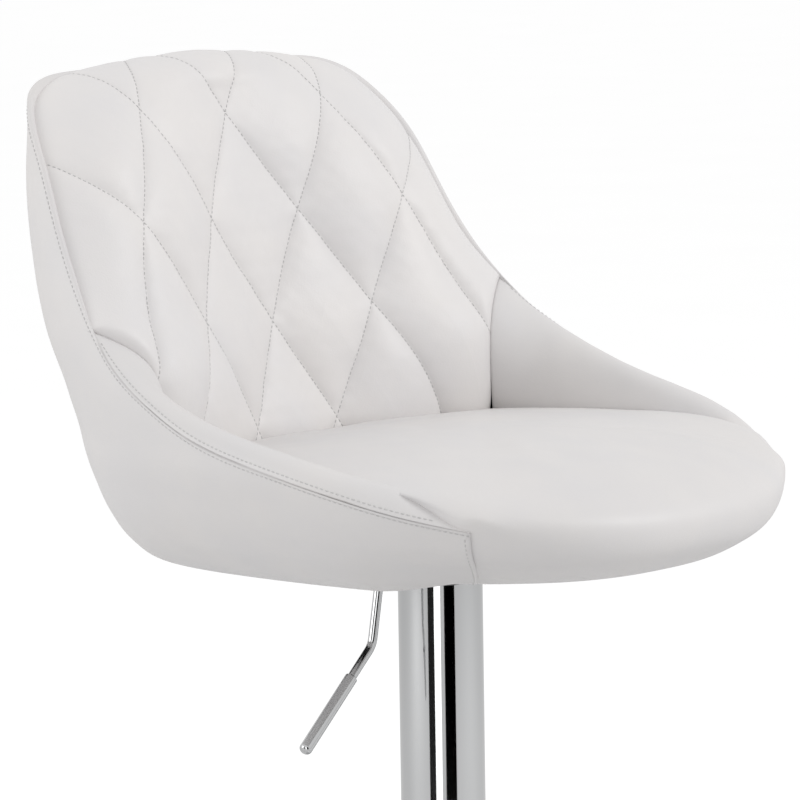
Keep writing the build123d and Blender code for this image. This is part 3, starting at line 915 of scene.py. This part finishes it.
def ramp(tree, value, low, high, start=0.0, end=1.0):
    """Maps a grey value onto a range of colours."""
    node = tree.nodes.new("ShaderNodeValToRGB")
    node.color_ramp.elements[0].position = start
    node.color_ramp.elements[1].position = end
    node.color_ramp.elements[0].color = (*low, 1)
    node.color_ramp.elements[1].color = (*high, 1)
    tree.links.new(value, node.inputs["Fac"])
    return node.outputs["Color"]


def span(tree, value, low, high):
    """Maps 0..1 onto a range of numbers."""
    node = tree.nodes.new("ShaderNodeMapRange")
    node.inputs["To Min"].default_value = low
    node.inputs["To Max"].default_value = high
    tree.links.new(value, node.inputs["Value"])
    return node.outputs["Result"]


def add_bump(tree, shader, height, strength, distance, after=None):
    """Fine relief on a shader, on top of an earlier bump if one is given."""
    node = tree.nodes.new("ShaderNodeBump")
    node.inputs["Strength"].default_value = strength
    node.inputs["Distance"].default_value = distance
    tree.links.new(height, node.inputs["Height"])
    if after is not None:
        tree.links.new(after, node.inputs["Normal"])
    tree.links.new(node.outputs["Normal"], shader.inputs["Normal"])
    return node.outputs["Normal"]


def leather(name, tint):
    """White coated leather: pebbled grain, soft folds, faint warm and cool patches."""
    material, tree, shader = new_material(name)
    cool = tuple(c * f for c, f in zip(tint, (0.965, 0.972, 0.985)))
    patches = ramp(tree, noise_node(tree, 14, 3), cool, tint, 0.35, 0.65)
    tree.links.new(patches, shader.inputs["Base Color"])
    tree.links.new(span(tree, noise_node(tree, 60, 3), 0.40, 0.52), shader.inputs["Roughness"])
    grain = tree.nodes.new("ShaderNodeTexVoronoi")
    grain.feature = "SMOOTH_F1"
    grain.inputs["Scale"].default_value = 900
    tree.links.new(object_coordinates(tree), grain.inputs["Vector"])
    folds = add_bump(tree, shader, noise_node(tree, 240, 4, 0.6), 0.10, 0.0006)
    add_bump(tree, shader, grain.outputs["Distance"], 0.16, 0.0003, folds)
    shader.inputs["Specular IOR Level"].default_value = 0.42
    shader.inputs["Sheen Weight"].default_value = 0.05
    return material


def thread():
    """Off-white sewing thread, its colour painted down to grey as painted shade of the stitch holes."""
    material, tree, shader = new_material("thread_with_painted_shade")
    # painted shade: the grey range stands for the shadow in the stitch holes; the noise within it is the
    # thread's own uneven tone
    colour = ramp(tree, noise_node(tree, 700, 2), (0.46, 0.455, 0.45), (0.66, 0.655, 0.65))
    tree.links.new(colour, shader.inputs["Base Color"])
    shader.inputs["Roughness"].default_value = 0.7
    add_bump(tree, shader, noise_node(tree, 2500, 2), 0.4, 0.0002)
    return material


def chrome():
    """Bright plating with faint polishing haze."""
    material, tree, shader = new_material("chrome_plate")
    shader.inputs["Metallic"].default_value = 1.0
    colour = ramp(tree, noise_node(tree, 9, 2), (0.56, 0.565, 0.57), (0.61, 0.615, 0.62))
    tree.links.new(colour, shader.inputs["Base Color"])
    tree.links.new(span(tree, noise_node(tree, 40, 4), 0.035, 0.075), shader.inputs["Roughness"])
    add_bump(tree, shader, noise_node(tree, 25, 1), 0.02, 0.001)
    return material


def brushed(name, low, high, rough):
    """Zinc-plated or machined steel with fine cross grain."""
    material, tree, shader = new_material(name)
    shader.inputs["Metallic"].default_value = 1.0
    tree.links.new(ramp(tree, noise_node(tree, 160, 4), low, high), shader.inputs["Base Color"])
    patches = span(tree, noise_node(tree, 420, 3), rough - 0.08, rough + 0.08)
    tree.links.new(patches, shader.inputs["Roughness"])
    add_bump(tree, shader, noise_node(tree, 900, 2), 0.15, 0.0002)
    return material


def coating(name, low, high, rough, scale, strength):
    """Powder coat, moulded plastic, rubber or raw casting."""
    material, tree, shader = new_material(name)
    tree.links.new(ramp(tree, noise_node(tree, scale / 8, 3), low, high), shader.inputs["Base Color"])
    patches = span(tree, noise_node(tree, scale / 4, 2), rough - 0.06, rough + 0.06)
    tree.links.new(patches, shader.inputs["Roughness"])
    add_bump(tree, shader, noise_node(tree, scale, 3), strength, 0.0005)
    return material


def plywood():
    """Birch ply: thin layers one above another, with pale streaks."""
    material, tree, shader = new_material("birch_ply")
    wave = tree.nodes.new("ShaderNodeTexWave")
    wave.bands_direction = "Z"
    wave.inputs["Scale"].default_value = 180
    wave.inputs["Distortion"].default_value = 1.2
    tree.links.new(object_coordinates(tree), wave.inputs["Vector"])
    colour = ramp(tree, wave.outputs["Fac"], (0.42, 0.29, 0.17), (0.66, 0.50, 0.33))
    tree.links.new(colour, shader.inputs["Base Color"])
    shader.inputs["Roughness"].default_value = 0.7
    add_bump(tree, shader, noise_node(tree, 500, 3), 0.2, 0.0003)
    return material


def dust_cloth():
    """Black non-woven cloth with a dimpled press pattern."""
    material, tree, shader = new_material("dust_cloth")
    dots = tree.nodes.new("ShaderNodeTexVoronoi")
    dots.inputs["Scale"].default_value = 450
    dots.inputs["Randomness"].default_value = 0.2
    tree.links.new(object_coordinates(tree), dots.inputs["Vector"])
    colour = ramp(tree, dots.outputs["Distance"], (0.015, 0.015, 0.016), (0.045, 0.045, 0.047))
    tree.links.new(colour, shader.inputs["Base Color"])
    shader.inputs["Roughness"].default_value = 0.9
    add_bump(tree, shader, dots.outputs["Distance"], 0.5, 0.0004)
    return material


def dress_nodes():
    """Each CAD node that stays visible takes the material of its slot."""
    board_tones = (0.05, 0.05, 0.052), (0.075, 0.075, 0.078)
    plastic_tones = (0.015, 0.015, 0.016), (0.026, 0.026, 0.028)
    powder_tones = (0.018, 0.018, 0.019), (0.03, 0.03, 0.032)
    finish = {
        "black_fabric": dust_cloth(),
        "plywood": plywood(),
        "moulded_board": coating("moulded_board", *board_tones, 0.6, 500, 0.2),
        "chrome": chrome(),
        "black_steel": coating("powder_coat", *powder_tones, 0.42, 1400, 0.25),
        "zinc_steel": brushed("zinc_plate", (0.50, 0.50, 0.51), (0.66, 0.66, 0.67), 0.32),
        "black_plastic": coating("moulded_plastic", *plastic_tones, 0.45, 900, 0.12),
        "cast_iron": coating("cast_iron", (0.06, 0.06, 0.062), (0.11, 0.11, 0.113), 0.75, 350, 0.6),
        "rubber": coating("rubber", (0.016, 0.016, 0.016), (0.028, 0.028, 0.028), 0.8, 1000, 0.3),
    }
    slots = {row["node"]: row["material_slot"] for row in frame["record"]["subparts"]}
    for name, node in frame["nodes"].items():
        material = finish.get(slots[name])
        if material is None:
            continue
        node.data.materials.clear()
        node.data.materials.append(material)


# ------------------------------------------------------------------ stage
AZIMUTH = math.radians(-50.0)
ELEVATION = math.radians(8.65)
ROLL = math.radians(-0.83)
DISTANCE = 3.5                 # from the column's axis at the seat's underside
FOCAL = 6.2                    # focal length in picture widths
AIM = (0.0495, 0.1825)         # the picture's centre from that point, in picture widths
SENSOR = 36                    # the camera's picture width in millimetres
FLOOR_HALF = 45.0              # the floor runs to the horizon
CARD_RADIUS = 1.6              # the reflected cards stand on a ring round the column
CARD_HEIGHT = 1.3


def add_camera():
    """Camera at a long lens's distance, turned and shifted to frame the seat."""
    back = Vector((math.sin(AZIMUTH) * math.cos(ELEVATION), -math.cos(AZIMUTH) * math.cos(ELEVATION),
                   math.sin(ELEVATION)))
    right = Vector((math.cos(AZIMUTH), math.sin(AZIMUTH), 0))
    up = back.cross(right)
    right_rolled = right * math.cos(ROLL) + up * math.sin(ROLL)
    up_rolled = up * math.cos(ROLL) - right * math.sin(ROLL)
    target = Vector((0, 0, SEAT_LOW + 9 * MM))
    place = target + back * DISTANCE
    forward = (-back - right_rolled * (AIM[0] / FOCAL) + up_rolled * (AIM[1] / FOCAL)).normalized()
    side = forward.cross(up_rolled).normalized()
    top = side.cross(forward)
    camera = bpy.data.cameras.new("camera")
    camera.sensor_width = SENSOR
    camera.lens = FOCAL * SENSOR
    camera.clip_start = 0.1
    camera.clip_end = 60
    obj = bpy.data.objects.new("camera", camera)
    obj.matrix_world = Matrix.Translation(place) @ Matrix((side, top, -forward)).transposed().to_4x4()
    bpy.context.scene.collection.objects.link(obj)
    bpy.context.scene.camera = obj


def plane_mesh(name, corners, material):
    """One flat face that belongs to the stage."""
    mesh = bpy.data.meshes.new(name)
    mesh.from_pydata(corners, [], [tuple(range(len(corners)))])
    mesh.materials.append(material)
    obj = bpy.data.objects.new(name, mesh)
    bpy.context.scene.collection.objects.link(obj)
    return obj


def add_floor():
    """Plain pale floor, a little lighter to the camera so that it meets the backdrop."""
    material, tree, shader = new_material("floor")
    pale = ramp(tree, noise_node(tree, 3, 2), (0.74, 0.74, 0.74), (0.76, 0.76, 0.76))
    tree.links.new(pale, shader.inputs["Base Color"])
    seen = tree.nodes.new("ShaderNodeLightPath").outputs["Is Camera Ray"]
    tree.links.new(span(tree, seen, 0.0, 0.36), shader.inputs["Emission Strength"])
    shader.inputs["Emission Color"].default_value = (1, 1, 1, 1)
    shader.inputs["Roughness"].default_value = 1.0
    shader.inputs["Specular IOR Level"].default_value = 0.0
    corners = [(x * FLOOR_HALF, y * FLOOR_HALF, 0) for x, y in ((-1, -1), (1, -1), (1, 1), (-1, 1))]
    plane_mesh("floor", corners, material)


def add_card(name, low_bearing, high_bearing, brightness):
    """Upright card seen only in reflections, between two bearings measured from the camera's."""
    material, tree, shader = new_material(name)
    tree.nodes.remove(shader)
    glow = tree.nodes.new("ShaderNodeEmission")
    glow.inputs["Color"].default_value = (1, 1, 1, 1)
    glow.inputs["Strength"].default_value = brightness
    tree.links.new(glow.outputs["Emission"], tree.nodes["Material Output"].inputs["Surface"])
    a, b = (AZIMUTH + math.radians(v) for v in (low_bearing, high_bearing))
    corners = [(CARD_RADIUS * math.sin(t), -CARD_RADIUS * math.cos(t), z) for t, z in
               ((a, 0.01), (b, 0.01), (b, CARD_HEIGHT), (a, CARD_HEIGHT))]
    card = plane_mesh(name, corners, material)
    card.visible_camera = False
    card.visible_diffuse = False
    card.visible_shadow = False


def add_light(name, place, aim, size, power):
    """White rectangular lamp."""
    light = bpy.data.lights.new(name, "AREA")
    light.shape = "RECTANGLE"
    light.size, light.size_y = size
    light.energy = power
    obj = bpy.data.objects.new(name, light)
    obj.location = place
    obj.rotation_mode = "QUATERNION"
    obj.rotation_quaternion = (Vector(aim) - Vector(place)).to_track_quat("-Z", "Y")
    bpy.context.scene.collection.objects.link(obj)


def add_lights():
    """Even white surroundings, two large lamps and the cards that the chrome reflects."""
    world = bpy.data.worlds.new("studio")
    world.use_nodes = True
    background = world.node_tree.nodes["Background"]
    background.inputs["Color"].default_value = (1.0, 1.0, 1.0, 1)
    path = world.node_tree.nodes.new("ShaderNodeLightPath")
    strength = span(world.node_tree, path.outputs["Is Camera Ray"], 0.84, 1.02)
    world.node_tree.links.new(strength, background.inputs["Strength"])
    bpy.context.scene.world = world
    seat = (0, 0, SEAT_LOW + 0.12)
    add_light("key", (1.5, -2.4, 2.3), seat, (1.2, 1.2), 30)
    add_light("left", (-2.7, 1.5, 1.5), seat, (1.2, 1.8), 22)
    add_card("dark_card_left", -35, -18, 0.02)
    add_card("bright_card", -18, -1, 2.2)
    add_card("grey_card", -1, 9, 0.75)
    add_card("dark_card_right", 9, 38, 0.0)


# ------------------------------------------------------------------ build
add_camera()
add_floor()
add_lights()
bpy.context.scene.view_settings.view_transform = "Standard"
dress_nodes()
smooth_leather = leather("white_leather", (0.70, 0.680, 0.672))
# painted light: the quilted back uses a lighter copy of the same white leather, its tint raised to stand
# for the brighter light that falls on the back
quilted_leather = leather("quilted_leather", (0.755, 0.732, 0.722))
thread_with_painted_shade = thread()
cover = make_cover(smooth_leather)
quilt, quilt_normals, sums, differences = make_quilt(quilted_leather)
lining, lining_normals = make_linings(smooth_leather)
make_cushion(smooth_leather)
quilt_lines = lattice_lines(quilt, quilt_normals, sums) + lattice_lines(quilt, quilt_normals, differences)
stitch_row(quilt_lines, "quilt_stitching", thread_with_painted_shade)
stitch_row(seam_rows(cover, lining, lining_normals), "rim_stitching", thread_with_painted_shade)

bpy.context.view_layer.update()
